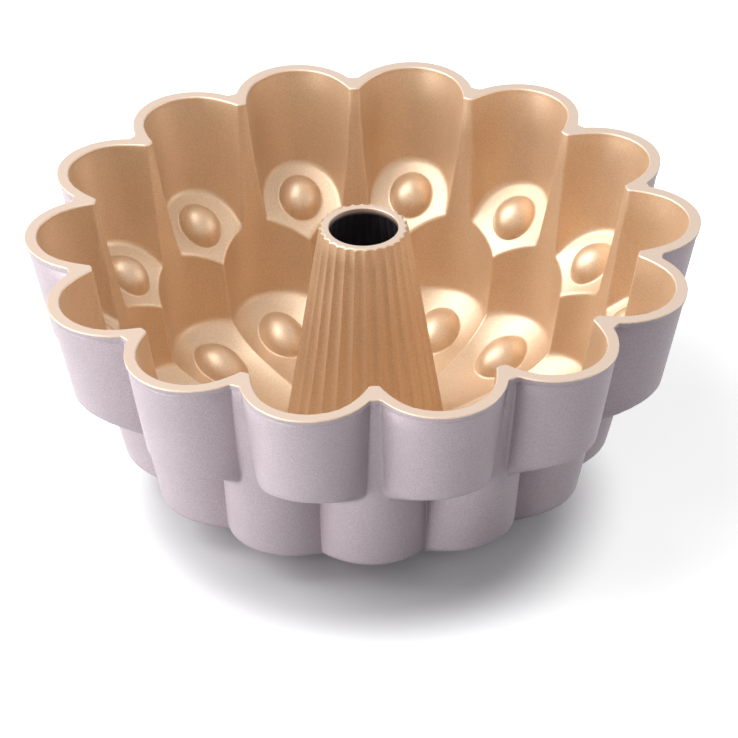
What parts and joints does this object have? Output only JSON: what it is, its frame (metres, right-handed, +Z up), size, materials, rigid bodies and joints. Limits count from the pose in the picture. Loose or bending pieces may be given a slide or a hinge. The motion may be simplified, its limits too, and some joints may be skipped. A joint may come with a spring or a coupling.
{
  "type": "kugelhopf mould",
  "caption": "Round cast kugelhopf mould with staggered tiers of scalloped lobes, egg-shaped bosses on ledges and floor, and a tapered fluted centre tube open from end to end.",
  "frame": {"origin": "centre of the flat ring that the mould stands on, on the mould's axis", "axes": "+Z up along the mould's axis towards the rim; -Y towards the viewer, through a cusp of the rim; +X to the viewer's right, through the middle of a rim lobe"},
  "size_m": [0.26, 0.2548, 0.105],
  "materials": {
    "cast_aluminium": "bare cast and machined, matt",
    "gold_nonstick": "gold metallic non-stick coat, satin with a fine speckle",
    "mauve_lacquer": "pale mauve metallic lacquer, matt with a fine speckle"
  },
  "bodies": {
    "root": {"cast_body": "cast_aluminium", "inner_coating": "gold_nonstick", "outer_coating": "mauve_lacquer"}
  },
  "joints": []
}
